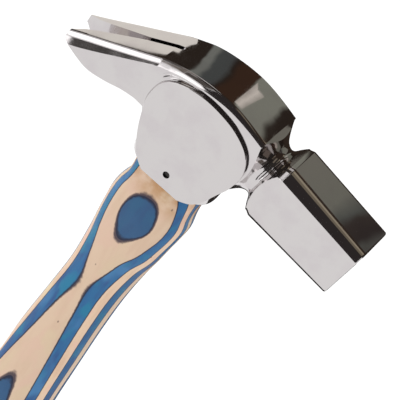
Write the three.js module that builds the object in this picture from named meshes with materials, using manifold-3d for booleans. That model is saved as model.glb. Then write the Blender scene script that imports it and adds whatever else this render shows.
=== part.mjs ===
// A farrier's driving hammer: a forged and polished steel head with a nail claw and a square poll,
// pinned onto a handle that is shaped from one stack of blue and natural wood plies.
// Millimetres. The hammer lies on its lower cheek, as it rests on a bench: +Z points out of the upper
// cheek, +Y runs up the handle to the crown of the head, and +X runs from the claw to the striking face.
// The origin is on the flat of the lower cheek, on the axis of the handle.

import * as THREE from 'three';
import { mergeVertices } from 'three/addons/utils/BufferGeometryUtils.js';
import Module from 'manifold-3d';

const wasm = await Module();
wasm.setup();

// Body of the head
const cheekHalf = 10.75;         // middle of the head to the flat of either cheek
const bodyHalf = 9.65;           // middle of the head to the side of the body, beside the cheek plate
const crownHeight = 17.5;        // origin level to the top of the crown
const frontReach = 16.95;        // handle axis to the front end of the body
const frontHeight = 14.5;        // height of the body's front upper corner
const rimDepth = 16.15;          // origin level down to the lower rim of the socket
const rimHalfWidth = 12.9;       // outside of the socket at its rim
const skirtHalfWidth = 13.85;    // outside of the socket half way up
const edgeDrop = 2.2;            // chamfer along crown and claw, measured down the side
const edgeInset = 2;             // the same chamfer, measured across the top

// Raised plate on each cheek
const cheekHeight = 14.05;       // origin level to the top of the plate
const cheekBack = 15.3;          // handle axis to its edge on the claw side
const cheekFront = 16.15;        // handle axis to its edge on the poll side
const cheekBevel = 0.4;

// Claw
const clawReach = 42.75;         // handle axis to the tips
const clawTipDepth = 2.9;        // origin level down to the tips
const clawTipBlunt = 1.1;        // height of the small flat that blunts each tip
const clawTipHalf = 7.95;        // middle of the head to the side of a tine at its tip
const clawRoot = 18.25;          // handle axis to the end of the claw's straight top
const clawRootHeight = 13.15;    // height of that place
const clawHollowDepth = 5.55;    // lowest line of the claw's underside
const clawArchReach = 18.7;      // handle axis to the top of the arch beside the socket
const clawArchDepth = 1.6;       // origin level down to the top of that arch

// Nail slot in the claw, measured from the tips
const slotMouthHalf = 3.05;      // half width at the tips
const slotFlare = 3;             // length of the flared mouth
const slotNeckHalf = 2.55;       // half width at the end of the mouth
const slotWideLength = 8.2;      // tips to the end of the wide stretch
const slotWideHalf = 2.2;        // half width there
const slotThroatLength = 16.4;   // tips to the start of the narrow end
const slotEndHalf = 0.9;         // half width of the narrow end
const slotLength = 25;           // tips to the closed end

// Neck and poll
const pollDroop = THREE.MathUtils.degToRad(7);   // the poll leans towards the handle
const pollStart = 24;            // handle axis to the back of the poll, on the poll's own axis
const pollStartHeight = 2.24;    // height of that place
const pollLength = 27.7;
const pollBackHeight = 20.05;
const pollBackWidth = 17.05;
const faceSize = 17.05;          // side of the square striking face
const pollChamfer = 2.55;        // long corner chamfers
const pollBackLength = 2.3;      // bevel behind the poll, along its axis
const pollBackInset = 1.55;      // the same bevel, across the axis
const faceBevel = 0.6;
const neckRadius = 8.2;          // thinnest place between body and poll
const neckAt = 5;                // back of the poll to that place
const neckLength = 8.75;         // back of the poll to where the neck leaves the body
const neckFlareRadius = 9.6;     // radius of the neck where it leaves the body

// Socket and its resin
const socketDepth = 26.65;       // blind depth above the rim
const socketRimHalf = 12;        // half width at the rim
const socketRimThick = 7.3;      // half thickness at the rim
const socketEndHalf = 10;        // half width at the blind end
const socketEndThick = 6.1;      // half thickness at the blind end
const socketRound = 2.75;        // rounding of the blind end
const beddingWall = 0.4;         // resin between the wood and the steel
const fit = 0.1;                 // clearance between bonded or pressed pieces

// Handle
const ply = 1.64;                // one wood ply with its glue
const glueLine = 0.1;            // glue between two plies
const plyTilt = THREE.MathUtils.degToRad(5);   // the stack leans about the handle's axis
const handleLength = 266;        // rim of the socket to the end of the butt
const shoulderAt = 15.8;         // shoulder, waist and throat are measured down from the rim
const shoulderHalfWidth = 12;
const shoulderLean = plyTilt;    // the shoulder's oval is turned with the stack
const shoulderCover = 0.85;      // what is left of the fifth ply on the shoulder
const waistAt = 45;
const waistHalfWidth = 9.6;
const waistCover = 0.2;          // what is left of the fourth ply at the waist
const throatAt = 75.7;
const throatHalfWidth = 10.6;
const throatHalfThick = 6.75;
const palmUp = 123;              // palm, heel and flare are measured up from the end of the butt
const palmHalfWidth = 13.6;
const palmCover = 1.4;           // what is left of the fifth ply in the palm
const heelUp = 66;
const heelHalfWidth = 13.2;
const heelHalfThick = 8.6;
const flareUp = 6;
const buttHalfWidth = 15.5;
const buttRound = 3.5;           // rounding of the butt's end

// Cross pin
const pinDiameter = 1.8;
const pinHeight = 4.1;           // rim of the socket up to the pin's axis
const pinOffset = 0.45;          // handle axis to the pin, towards the poll
const pinRecess = 0.6;           // how far the pin's ends lie below the cheeks

// How far a cut runs past the faces that it opens
const overrun = 5;

const midPlane = cheekHalf;
const rimLevel = -rimDepth;
const buttLevel = rimLevel - handleLength;
const waistLevel = rimLevel - waistAt;
const heelLevel = buttLevel + heelUp;

// Closed geometry to solid, and back

function solidOf(geometry) {
	const bare = geometry.clone();
	bare.deleteAttribute('normal');
	bare.deleteAttribute('uv');
	const merged = mergeVertices(bare);
	const mesh = new wasm.Mesh({
		numProp: 3,
		vertProperties: new Float32Array(merged.attributes.position.array),
		triVerts: new Uint32Array(merged.index.array),
	});
	return new wasm.Manifold(mesh);
}

function geometryOf(solid) {
	const mesh = solid.getMesh();
	const geometry = new THREE.BufferGeometry();
	geometry.setAttribute('position', new THREE.BufferAttribute(mesh.vertProperties, 3));
	geometry.setIndex(new THREE.BufferAttribute(mesh.triVerts, 1));
	geometry.computeVertexNormals();
	return geometry;
}

function join(solids) {
	return solids.reduce((whole, solid) => whole.add(solid));
}

// A plate with an outline in the XY plane, centred on the middle plane of the head
function plate(outline, half, bevel = { bevelEnabled: false }) {
	const geometry = new THREE.ExtrudeGeometry(outline, { depth: 2 * half, curveSegments: 3, ...bevel });
	geometry.computeBoundingBox();
	const { min, max } = geometry.boundingBox;
	return solidOf(geometry.translate(0, 0, midPlane - (min.z + max.z) / 2));
}

// A closed skin over rings that have the same number of points, with a flat fan on each end
function loft(rings) {
	const sides = rings[0].length;
	const points = rings.flat();
	const index = [];
	for (let row = 0; row < rings.length - 1; row++) {
		for (let side = 0; side < sides; side++) {
			const a = row * sides + side;
			const b = row * sides + (side + 1) % sides;
			index.push(a, b, a + sides, b, b + sides, a + sides);
		}
	}
	for (const [row, flip] of [[0, true], [rings.length - 1, false]]) {
		const centre = new THREE.Vector3();
		rings[row].forEach((point) => centre.addScaledVector(point, 1 / sides));
		points.push(centre);
		for (let side = 0; side < sides; side++) {
			const a = row * sides + side;
			const b = row * sides + (side + 1) % sides;
			index.push(...(flip ? [b, a] : [a, b]), points.length - 1);
		}
	}
	const geometry = new THREE.BufferGeometry().setFromPoints(points);
	geometry.setIndex(index);
	return geometry;
}

// A smooth value through stations whose first entry is their level, from low to high. It runs level
// through both end stations and keeps their values beyond them.
function through(stations, column, level) {
	const last = stations.length - 1;
	if (level <= stations[0][0]) return stations[0][column];
	if (level >= stations[last][0]) return stations[last][column];
	const next = stations.findIndex((station) => station[0] > level);
	const slope = (index) => {
		if (index === 0 || index === last) return 0;
		const [low, high] = [stations[index - 1], stations[index + 1]];
		return (high[column] - low[column]) / (high[0] - low[0]);
	};
	const [from, to] = [stations[next - 1], stations[next]];
	const span = to[0] - from[0];
	const share = (level - from[0]) / span;
	const blend = share * share * (3 - 2 * share);
	const leave = share * (1 - share) * (1 - share) * span * slope(next - 1);
	const arrive = share * share * (1 - share) * span * slope(next);
	return from[column] + (to[column] - from[column]) * blend + leave - arrive;
}

// How far a quarter-round edge stands in from the side, at a distance from the rounded end
function roundInset(distance, radius) {
	if (distance >= radius) return 0;
	return radius - Math.sqrt(radius * radius - (radius - distance) ** 2);
}

// A ring round the handle's axis, turned about it by lean. Squareness 2 is an ellipse; more is boxier,
// and less runs finer at the sides.
function ovalRing(level, halfWidth, halfThick, squareness, lean, sides) {
	const power = 2 / squareness;
	return Array.from({ length: sides }, (_, side) => {
		const angle = 2 * Math.PI * side / sides;
		const across = Math.sign(Math.cos(angle)) * Math.abs(Math.cos(angle)) ** power;
		const thick = Math.sign(Math.sin(angle)) * Math.abs(Math.sin(angle)) ** power;
		const point = new THREE.Vector3(halfWidth * across, level, -halfThick * thick);
		point.applyAxisAngle(new THREE.Vector3(0, 1, 0), -lean);
		return point.setZ(midPlane + point.z);
	});
}

// A round bar along Y through stations [level, half width, half thickness, squareness, lean], with its
// lower and its upper end rounded off by the given radii
function bar(stations, levels, sides, lowRound, highRound) {
	const low = levels[0];
	const high = levels[levels.length - 1];
	const rings = levels.map((level) => {
		const inset = roundInset(level - low, lowRound) + roundInset(high - level, highRound);
		const halfWidth = through(stations, 1, level) - inset;
		const halfThick = through(stations, 2, level) - inset;
		const squareness = through(stations, 3, level);
		return ovalRing(level, halfWidth, halfThick, squareness, through(stations, 4, level), sides);
	});
	return solidOf(loft(rings));
}

// Even levels from low to high, with closer ones over a rounding at either end
function levelsBetween(low, high, count, lowRound = 0, highRound = 0) {
	const roundShares = [0, 0.12, 0.45];
	const even = Array.from({ length: count + 1 }, (_, i) =>
		low + lowRound + (high - highRound - low - lowRound) * i / count);
	const lower = lowRound ? roundShares.map((share) => low + share * lowRound) : [];
	const upper = highRound ? roundShares.map((share) => high - share * highRound).reverse() : [];
	return [...lower, ...even, ...upper];
}

// Head

// Points of the crown's curve: share of the way from the claw's root to the front, share of its height
const crownShares = [[0.1, 0.83], [0.2, 0.906], [0.34, 0.966], [0.5, 1], [0.64, 0.994], [0.8, 0.938]];

function crownPoints() {
	return crownShares.map(([along, up]) =>
		new THREE.Vector2(-clawRoot + along * (clawRoot + frontReach), up * crownHeight));
}

// How much of the skirt's width the flat sides of the body still have half way down it
const skirtShoulderShare = 0.75;

const clawSlope = (clawRootHeight + clawTipDepth) / (clawReach - clawRoot);

// The body seen from the side, from the root of the claw to its front end
function bodySolid() {
	const outline = new THREE.Shape();
	outline.moveTo(-clawRoot, clawRootHeight);
	outline.splineThru([...crownPoints(), new THREE.Vector2(frontReach, frontHeight)]);
	outline.lineTo(frontReach, 0);
	outline.lineTo(skirtHalfWidth * skirtShoulderShare, -rimDepth / 2);
	outline.lineTo(-skirtHalfWidth * skirtShoulderShare, -rimDepth / 2);
	outline.lineTo(-skirtHalfWidth, -clawArchDepth);
	outline.lineTo(-clawRoot, -clawArchDepth);
	outline.closePath();
	return plate(outline, bodyHalf).intersect(crownEnvelope());
}

// The space under the crown, with its long edges chamfered. It runs past the body at both ends.
function crownEnvelope() {
	const outline = new THREE.Shape();
	const past = overrun + edgeDrop;
	outline.moveTo(-clawRoot - past, clawRootHeight - past * clawSlope);
	outline.lineTo(-clawRoot, clawRootHeight);
	outline.splineThru([...crownPoints(), new THREE.Vector2(frontReach, frontHeight)]);
	outline.lineTo(frontReach + past, frontHeight);
	outline.lineTo(frontReach + past, -rimDepth);
	outline.lineTo(-clawRoot - past, -rimDepth);
	outline.closePath();
	return plate(outline, bodyHalf - edgeInset, {
		bevelEnabled: true,
		bevelThickness: edgeInset,
		bevelSize: edgeDrop,
		bevelOffset: -edgeDrop,
		bevelSegments: 1,
	});
}

// Points of the claw's underside: share of the claw's reach, share of its hollow depth
const undersideShares = [[0.53, 0.43], [0.64, 0.76], [0.77, 1], [0.875, 0.9]];

// The claw seen from the side, running into the body
function clawSolid() {
	const outline = new THREE.Shape();
	const tip = new THREE.Vector2(-clawReach, -clawTipDepth);
	outline.moveTo(tip.x, tip.y - clawTipBlunt);
	outline.lineTo(tip.x, tip.y);
	outline.lineTo(-clawRoot, clawRootHeight);
	outline.lineTo(-cheekBack, clawRootHeight);
	outline.lineTo(-cheekBack, -clawArchDepth - cheekBevel);
	outline.lineTo(-clawArchReach, -clawArchDepth);
	outline.splineThru([
		...undersideShares.map(([out, down]) =>
			new THREE.Vector2(-out * clawReach, -down * clawHollowDepth)),
		new THREE.Vector2(tip.x, tip.y - clawTipBlunt),
	]);
	return plate(outline, bodyHalf).intersect(clawEnvelope());
}

// The space of the claw: it narrows from the body to the tips, with both upper edges chamfered
function clawEnvelope() {
	const drop = edgeDrop * Math.hypot(1, clawSlope);
	const narrowing = (bodyHalf - clawTipHalf) / (clawReach - clawRoot);
	const ring = (x, top, half) => [
		new THREE.Vector3(x, top, midPlane + half - edgeInset),
		new THREE.Vector3(x, top - drop, midPlane + half),
		new THREE.Vector3(x, -clawHollowDepth - overrun, midPlane + half),
		new THREE.Vector3(x, -clawHollowDepth - overrun, midPlane - half),
		new THREE.Vector3(x, top - drop, midPlane - half),
		new THREE.Vector3(x, top, midPlane - half + edgeInset),
	];
	const rootRing = ring(-clawRoot, clawRootHeight, bodyHalf);
	const insideRing = ring(-cheekBack, clawRootHeight, bodyHalf);
	const tipRing = ring(
		-clawReach - overrun,
		-clawTipDepth - overrun * clawSlope,
		clawTipHalf - overrun * narrowing,
	);
	return solidOf(loft([tipRing, rootRing, insideRing]));
}

// The nail slot seen from above, cut straight down through the claw
function slotSolid() {
	const tip = -clawReach;
	const end = tip + slotLength - slotEndHalf;
	const side = [
		new THREE.Vector2(tip - overrun, slotMouthHalf),
		new THREE.Vector2(tip, slotMouthHalf),
		new THREE.Vector2(tip + slotFlare, slotNeckHalf),
		new THREE.Vector2(tip + slotWideLength, slotWideHalf),
		new THREE.Vector2(tip + slotThroatLength, slotEndHalf),
		new THREE.Vector2(end, slotEndHalf),
	];
	const outline = new THREE.Shape(side);
	outline.absarc(end, 0, slotEndHalf, Math.PI / 2, -Math.PI / 2, true);
	side.reverse().forEach((point) => outline.lineTo(point.x, -point.y));
	const depth = clawRootHeight + clawHollowDepth + 2 * overrun;
	const geometry = new THREE.ExtrudeGeometry(outline, { depth, bevelEnabled: false, curveSegments: 8 });
	geometry.rotateX(Math.PI / 2);
	return solidOf(geometry.translate(0, clawRootHeight + overrun, midPlane));
}

// The lower part of the body round the socket
function skirtSolid() {
	const stations = [
		[rimLevel, rimHalfWidth, cheekHalf - cheekBevel, 2.4, 0],
		[rimLevel / 2, skirtHalfWidth, cheekHalf - cheekBevel, 3, 0],
		[0, skirtHalfWidth, bodyHalf, 4, 0],
	];
	return bar(stations, levelsBetween(rimLevel, 0, 4), 32, 0, 0);
}

// Outline of the raised cheek plate: share of its reach to either side, share of its height or depth
const cheekShares = [
	[-0.38, -1], [-0.62, -0.8], [-0.81, -0.46], [-0.94, -0.1], [-1, 0.22], [-0.94, 0.6],
	[-0.75, 0.83], [-0.48, 0.95], [-0.08, 1], [0.37, 0.935], [0.7, 0.78], [0.9, 0.57],
	[1, 0.26], [0.965, -0.11], [0.85, -0.42], [0.74, -0.7], [0.6, -0.89], [0.4, -1],
];

function cheekSolid() {
	const points = cheekShares.map(([across, up]) => new THREE.Vector2(
		across * (across < 0 ? cheekBack : cheekFront),
		up * (up < 0 ? rimDepth : cheekHeight),
	));
	const outline = new THREE.Shape();
	outline.moveTo(points[0].x, points[0].y);
	outline.splineThru(points.slice(1));
	outline.closePath();
	return plate(outline, cheekHalf - cheekBevel, {
		bevelEnabled: true,
		bevelThickness: cheekBevel,
		bevelSize: cheekBevel,
		bevelOffset: -cheekBevel,
		bevelSegments: 1,
	});
}

// Puts a solid that is built along +X onto the axis of the poll
function ontoPoll(geometry) {
	geometry.rotateZ(-pollDroop);
	return solidOf(geometry.translate(pollStart, pollStartHeight, midPlane));
}

// The neck's profile: share of the way from the thinnest place to an end, share of the flare there
const flareShares = [[0.35, 0.1], [0.7, 0.42], [1, 1]];

function neckSolid() {
	const backRadius = pollBackHeight / 2 - pollBackInset;
	const towards = (reach, radius) => ([along, out]) =>
		new THREE.Vector2(neckRadius + out * (radius - neckRadius), -neckAt + along * reach);
	const bodySide = flareShares.map(towards(neckAt - neckLength, neckFlareRadius)).reverse();
	const pollSide = flareShares.map(towards(neckAt - pollBackLength, backRadius));
	const profile = [
		new THREE.Vector2(0, -neckLength - overrun),
		new THREE.Vector2(neckFlareRadius, -neckLength - overrun),
		...bodySide,
		new THREE.Vector2(neckRadius, -neckAt),
		...pollSide,
		new THREE.Vector2(0, 0),
	];
	const geometry = new THREE.LatheGeometry(profile, 36);
	return ontoPoll(geometry.rotateZ(-Math.PI / 2));
}

function pollSolid() {
	const ring = (x, halfHeight, halfWidth, inset) => {
		const [up, out] = [halfHeight - inset, halfWidth - inset];
		const corner = pollChamfer - inset / 2;
		return [
			[up - corner, out], [corner - up, out], [-up, out - corner], [-up, corner - out],
			[corner - up, -out], [up - corner, -out], [up, corner - out], [up, out - corner],
		].map(([y, z]) => new THREE.Vector3(x, y, z));
	};
	return ontoPoll(loft([
		ring(-pollBackLength, pollBackHeight / 2, pollBackWidth / 2, pollBackInset),
		ring(0, pollBackHeight / 2, pollBackWidth / 2, 0),
		ring(pollLength - faceBevel, faceSize / 2, faceSize / 2, 0),
		ring(pollLength, faceSize / 2, faceSize / 2, faceBevel),
	]));
}

// The socket's space, taken in by a distance all round, from below its rim up to the blind end
function socketSolid(inset, below) {
	const top = rimLevel + socketDepth - inset;
	const stations = [
		[rimLevel, socketRimHalf - inset, socketRimThick - inset, 2, 0],
		[rimLevel + socketDepth, socketEndHalf - inset, socketEndThick - inset, 2.2, 0],
	];
	const within = levelsBetween(rimLevel, top, 3, 0, socketRound);
	const levels = below ? [rimLevel - below, ...within] : within;
	return bar(stations, levels, 32, 0, socketRound);
}

// A round hole or rod through the cheeks, on the axis of the cross pin
function pinRod(radius, half) {
	const rod = new THREE.CylinderGeometry(radius, radius, 2 * half, 24);
	rod.rotateX(Math.PI / 2);
	return solidOf(rod.translate(pinOffset, rimLevel + pinHeight, midPlane));
}

const pinHole = pinRod(pinDiameter / 2 + fit, cheekHalf + overrun);

function headSolid() {
	const blank = join([
		bodySolid(),
		clawSolid(),
		skirtSolid(),
		cheekSolid(),
		neckSolid(),
		pollSolid(),
	]);
	return blank
		.subtract(socketSolid(0, overrun))
		.subtract(slotSolid())
		.subtract(pinHole);
}

// Handle

const woodInset = beddingWall + 2 * fit;

// The whole handle before it is sorted into its plies, without and within the socket
function handleSolid() {
	const stations = [
		[buttLevel + flareUp, buttHalfWidth, cheekHalf, 2, 0],
		[heelLevel, heelHalfWidth, heelHalfThick, 1.9, 0],
		[buttLevel + palmUp, palmHalfWidth, 4.5 * ply + palmCover, 1.9, 0],
		[rimLevel - throatAt, throatHalfWidth, throatHalfThick, 1.75, 0],
		[waistLevel, waistHalfWidth, 3.5 * ply + waistCover, 1.8, 0],
		[rimLevel - shoulderAt, shoulderHalfWidth, 4.5 * ply + shoulderCover, 2, shoulderLean],
		[rimLevel, socketRimHalf - woodInset, socketRimThick - woodInset, 2, 0],
	];
	const below = bar(stations, levelsBetween(buttLevel, rimLevel, 28, buttRound), 32, buttRound, 0);
	return below.add(socketSolid(woodInset, 0));
}

// A slab of the stack, from one distance to another along its normal, between two levels
function slab(from, to, low, high) {
	const width = 2 * (buttHalfWidth + overrun);
	const box = new THREE.BoxGeometry(width, high - low, to - from);
	box.translate(0, (low + high) / 2, (from + to) / 2);
	box.rotateY(-plyTilt);
	return solidOf(box.translate(0, 0, midPlane));
}

// Distance from the middle of the stack to a glue line, counted outwards
function glueAt(count) {
	return (count - 1 / 2) * ply;
}

function pliesOf(handle) {
	const low = buttLevel - overrun;
	const high = rimLevel + socketDepth + overrun;
	const past = cheekHalf + overrun;
	const gap = glueLine / 2;
	const cut = (side, from, to, bottom, top) => {
		const [near, far] = [from + gap, to - gap];
		const [start, end] = side > 0 ? [near, far] : [-far, -near];
		return handle.intersect(slab(start, end, bottom, top)).subtract(pinHole);
	};
	const half = ply / 2 - gap;
	const core = handle.intersect(slab(-half, half, low, high)).subtract(pinHole);
	const plies = [['ply_core_natural', core, wood.natural]];
	for (const [side, place] of [[1, 'upper'], [-1, 'lower']]) {
		for (let count = 1; count <= 4; count++) {
			const tone = count % 2 ? 'blue' : 'natural';
			const solid = cut(side, glueAt(count), glueAt(count + 1), low, high);
			plies.push([`ply_${place}_${count}_${tone}`, solid, wood[tone]]);
		}
		const shoulder = cut(side, glueAt(5), past, waistLevel, high);
		const heel = cut(side, glueAt(5), glueAt(6), low, heelLevel);
		const palm = cut(side, glueAt(5), past, heelLevel, waistLevel);
		const butt = cut(side, glueAt(6), past, low, heelLevel);
		plies.push([`ply_${place}_5_blue_shoulder`, shoulder, wood.blue]);
		plies.push([`ply_${place}_5_blue_grip`, heel.add(palm), wood.blue]);
		plies.push([`ply_${place}_6_natural_butt`, butt, wood.natural]);
	}
	return plies;
}

function beddingSolid() {
	const outer = socketSolid(fit, 0);
	const inner = socketSolid(fit + beddingWall, overrun);
	return outer.subtract(inner).subtract(pinHole);
}

// Materials

const steel = new THREE.MeshStandardMaterial({ color: '#c9c5c4', roughness: 0.12, metalness: 1 });
const pinSteel = new THREE.MeshStandardMaterial({ color: '#77736f', roughness: 0.35, metalness: 1 });
const resin = new THREE.MeshStandardMaterial({ color: '#3a2c22', roughness: 0.5, metalness: 0 });
const wood = {
	blue: new THREE.MeshStandardMaterial({ color: '#376a98', roughness: 0.42, metalness: 0 }),
	natural: new THREE.MeshStandardMaterial({ color: '#ddbd9b', roughness: 0.45, metalness: 0 }),
};

// The assembled hammer

const hammer = new THREE.Group();
const pieces = [
	['hammer_head', headSolid(), steel],
	['cross_pin', pinRod(pinDiameter / 2, cheekHalf - pinRecess), pinSteel],
	['socket_bedding', beddingSolid(), resin],
	...pliesOf(handleSolid()),
];
for (const [name, solid, material] of pieces) {
	const piece = new THREE.Mesh(geometryOf(solid), material);
	piece.name = name;
	hammer.add(piece);
}

export default hammer;
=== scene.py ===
# %% [markdown]
# # A farrier's driving hammer
# The hammer has a polished steel head with a curved claw, a waisted neck and a square poll, on a
# handle that is shaped from a stack of blue and natural wood plies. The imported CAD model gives
# every place and size. This notebook builds finer pieces over it, gives them their finishes and
# lights them. Everything is in metres, so sizes in millimetres are multiplied by mm. The handle
# runs along Y, the head along X, and both cheeks of the head are flat in Z.

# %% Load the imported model
import math

import bmesh
import bpy
from mathutils import Matrix, Vector


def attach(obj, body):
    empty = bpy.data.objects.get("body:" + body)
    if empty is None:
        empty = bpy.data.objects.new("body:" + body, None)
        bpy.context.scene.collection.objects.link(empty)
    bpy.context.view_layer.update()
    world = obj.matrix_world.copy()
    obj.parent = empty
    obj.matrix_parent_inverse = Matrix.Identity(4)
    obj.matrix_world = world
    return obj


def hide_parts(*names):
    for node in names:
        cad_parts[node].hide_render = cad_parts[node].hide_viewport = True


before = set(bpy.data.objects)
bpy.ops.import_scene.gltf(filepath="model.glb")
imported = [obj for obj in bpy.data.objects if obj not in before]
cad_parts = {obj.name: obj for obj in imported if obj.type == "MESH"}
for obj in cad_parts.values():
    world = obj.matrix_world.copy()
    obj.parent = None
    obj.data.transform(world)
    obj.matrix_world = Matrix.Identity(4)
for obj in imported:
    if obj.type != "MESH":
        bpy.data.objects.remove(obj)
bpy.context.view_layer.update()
mm = 0.001
print("CAD nodes:", sorted(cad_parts))

# %% [markdown]
# Blender keeps a shape in a mesh, and a bmesh is the same mesh opened up for editing. The first
# helper closes a finished bmesh and puts it into the scene. The others add one solid to another or
# cut it away with a Boolean modifier, which is taken over into the mesh at once, because the next
# cut needs the new shape. The exact solver is slower than the fast one, but it copes with faces
# that lie in one plane, and a forging has many of them. Where edges nearly meet it leaves points
# almost in one place, and the next cut would find a gap there and go wrong. So these points are
# merged after every cut, and the piece stays closed.

# %% From a bmesh to a piece, and one solid with another
same_place = 1e-6


def piece_from(bm, name):
    mesh = bpy.data.meshes.new(name)
    bmesh.ops.recalc_face_normals(bm, faces=bm.faces)
    bm.to_mesh(mesh)
    bm.free()
    piece = bpy.data.objects.new(name, mesh)
    bpy.context.scene.collection.objects.link(piece)
    return piece


def bake_modifiers(piece):
    bpy.context.view_layer.update()
    shape = piece.evaluated_get(bpy.context.evaluated_depsgraph_get())
    mesh = bpy.data.meshes.new_from_object(shape)
    piece.modifiers.clear()
    piece.data = mesh


def merge_close_points(piece):
    bm = bmesh.new()
    bm.from_mesh(piece.data)
    bmesh.ops.remove_doubles(bm, verts=bm.verts, dist=same_place)
    bmesh.ops.dissolve_degenerate(bm, edges=bm.edges, dist=same_place)
    bm.to_mesh(piece.data)
    bm.free()


def combine(piece, other, operation):
    step = piece.modifiers.new("Combine", "BOOLEAN")
    step.operation = operation
    step.solver = "EXACT"
    step.object = other
    bake_modifiers(piece)
    merge_close_points(piece)
    bpy.data.objects.remove(other)


# %% [markdown]
# Much of this hammer follows smooth curves through a few measured places. The first helper gives
# points along such a curve. The second gives a smooth value between stations, each of which is a
# level with its sizes, and it leaves both ends level. That is how the handle swells at the
# shoulder and the palm, and how the claw gets slimmer towards its tips.

# %% Curves and values through measured places
def curve_through(places, steps=8):
    points = []
    last = len(places) - 1
    for i in range(last):
        before, start = Vector(places[max(i - 1, 0)]), Vector(places[i])
        end, after = Vector(places[i + 1]), Vector(places[min(i + 2, last)])
        for step in range(steps):
            t = step / steps
            leave, arrive = (end - before) / 2, (after - start) / 2
            points.append(
                start * (2 * t**3 - 3 * t**2 + 1) + leave * (t**3 - 2 * t**2 + t)
                + end * (3 * t**2 - 2 * t**3) + arrive * (t**3 - t**2)
            )
    points.append(Vector(places[-1]))
    return points


def value_at(stations, column, level):
    last = len(stations) - 1
    if level <= stations[0][0]:
        return stations[0][column]
    if level >= stations[last][0]:
        return stations[last][column]
    here = next(i for i, station in enumerate(stations) if station[0] > level)

    def slope(i):
        if i in (0, last):
            return 0
        low, high = stations[i - 1], stations[i + 1]
        return (high[column] - low[column]) / (high[0] - low[0])

    start, end = stations[here - 1], stations[here]
    span = end[0] - start[0]
    t = (level - start[0]) / span
    ease = t * t * (3 - 2 * t)
    leave = t * (1 - t) ** 2 * span * slope(here - 1)
    arrive = t * t * (1 - t) * span * slope(here)
    return start[column] + (end[column] - start[column]) * ease + leave - arrive


arch = curve_through([(0, 0, 0), (1, 1, 0), (2, 0, 0)])
print("A smooth arch through three places has", len(arch), "points")

# %% [markdown]
# Handle, claw and poll are long bars whose section changes from place to place. A lathe would make
# such a bar round, and one long extrusion would keep its section. So one ring of edges is extruded
# from station to station, and after each step its points go to the section of that station.
# Extruding hands the new points back in any order, so they are matched with the ring before them,
# on which they still lie.

# %% A skin over a row of rings
def round_place(place):
    return tuple(round(x, 9) for x in place)


def extrude_ring(bm, edges):
    made = bmesh.ops.extrude_edge_only(bm, edges=edges)["geom"]
    ring = [part for part in made if isinstance(part, bmesh.types.BMVert)]
    return ring, [e for e in made if isinstance(e, bmesh.types.BMEdge)
                  and all(v in ring for v in e.verts)]


def skin_over(rings, sides, place_point):
    """Extrudes one ring of edges from ring to ring, and closes both ends."""
    bm = bmesh.new()
    bmesh.ops.create_circle(bm, cap_ends=False, segments=sides, radius=1)
    ring, edges = list(bm.verts), list(bm.edges)
    for count, station in enumerate(rings):
        if count:
            ring, edges = extrude_ring(bm, edges)
            ring.sort(key=lambda v: order[round_place(v.co)])
        for i, vert in enumerate(ring):
            vert.co = place_point(station, 2 * math.pi * i / sides)
        order = {round_place(v.co): i for i, v in enumerate(ring)}
    caps = bmesh.ops.holes_fill(bm, edges=bm.edges, sides=0)["faces"]
    bmesh.ops.triangulate(bm, faces=caps)
    return bm


sample = skin_over([0, 1, 3], 4, lambda y, turn: Vector((math.cos(turn), y, math.sin(turn))))
print("A square bar over three rings has", len(sample.faces), "faces with its ends")
sample.free()

# %% [markdown]
# The handle is sanded to an oval that changes all the way down. An oval has a half width, a half
# thickness, a squareness that makes it fuller or finer than an ellipse, a lean that turns it and a
# step aside. Where an end is rounded, the ovals shrink along a quarter circle, and the rings stand
# closer together there.

# %% Ovals along the handle's axis
mid_plane = 10.75 * mm
steps_in_rounding = 10


def oval_point(angle, half_width, half_thick, squareness, lean):
    power = 2 / squareness
    across = math.copysign(abs(math.cos(angle)) ** power, math.cos(angle)) * half_width
    up = math.copysign(abs(math.sin(angle)) ** power, math.sin(angle)) * half_thick
    return (
        across * math.cos(lean) - up * math.sin(lean),
        mid_plane + across * math.sin(lean) + up * math.cos(lean),
    )


def round_inset(distance, radius):
    if distance >= radius:
        return 0
    return radius - math.sqrt(radius**2 - (radius - distance) ** 2)


def oval_bar(sizes_at, levels, sides, low_round=0, high_round=0):
    def place_point(level, angle):
        inset = round_inset(level - levels[0], low_round)
        inset += round_inset(levels[-1] - level, high_round)
        half_width, half_thick, squareness, lean, aside = sizes_at(level)
        x, z = oval_point(angle, half_width - inset, half_thick - inset, squareness, lean)
        return Vector((x + aside, level, z))

    return skin_over(levels, sides, place_point)


def sizes_from(stations):
    return lambda level: [value_at(stations, column, level) for column in (1, 2, 3, 4, 5)]


def levels_between(low, high, count, low_round=0, high_round=0):
    quarter = [math.pi / 2 * i / steps_in_rounding for i in range(steps_in_rounding)]
    start = [low + low_round * (1 - math.cos(a)) for a in quarter] if low_round else []
    end = [high - high_round * (1 - math.cos(a)) for a in quarter][::-1] if high_round else []
    first, final = low + low_round, high - high_round
    return start + [first + (final - first) * i / count for i in range(count + 1)] + end


taken_off = round_inset(1 * mm, 3 * mm)
print("A 3 mm rounding takes off", round(taken_off / mm, 2), "mm at 1 mm from the end")

# %% [markdown]
# The handle runs from a flared butt over a swelling palm, a slim waist and a full shoulder up into
# the socket of the head. Its stations list level, half width, half thickness, squareness, lean and
# step aside at each measured place. The rings of the plies show these sizes well, for a glue line
# is a flat plane: wherever it comes out of the surface, the surface has the height of that plane.

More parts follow.
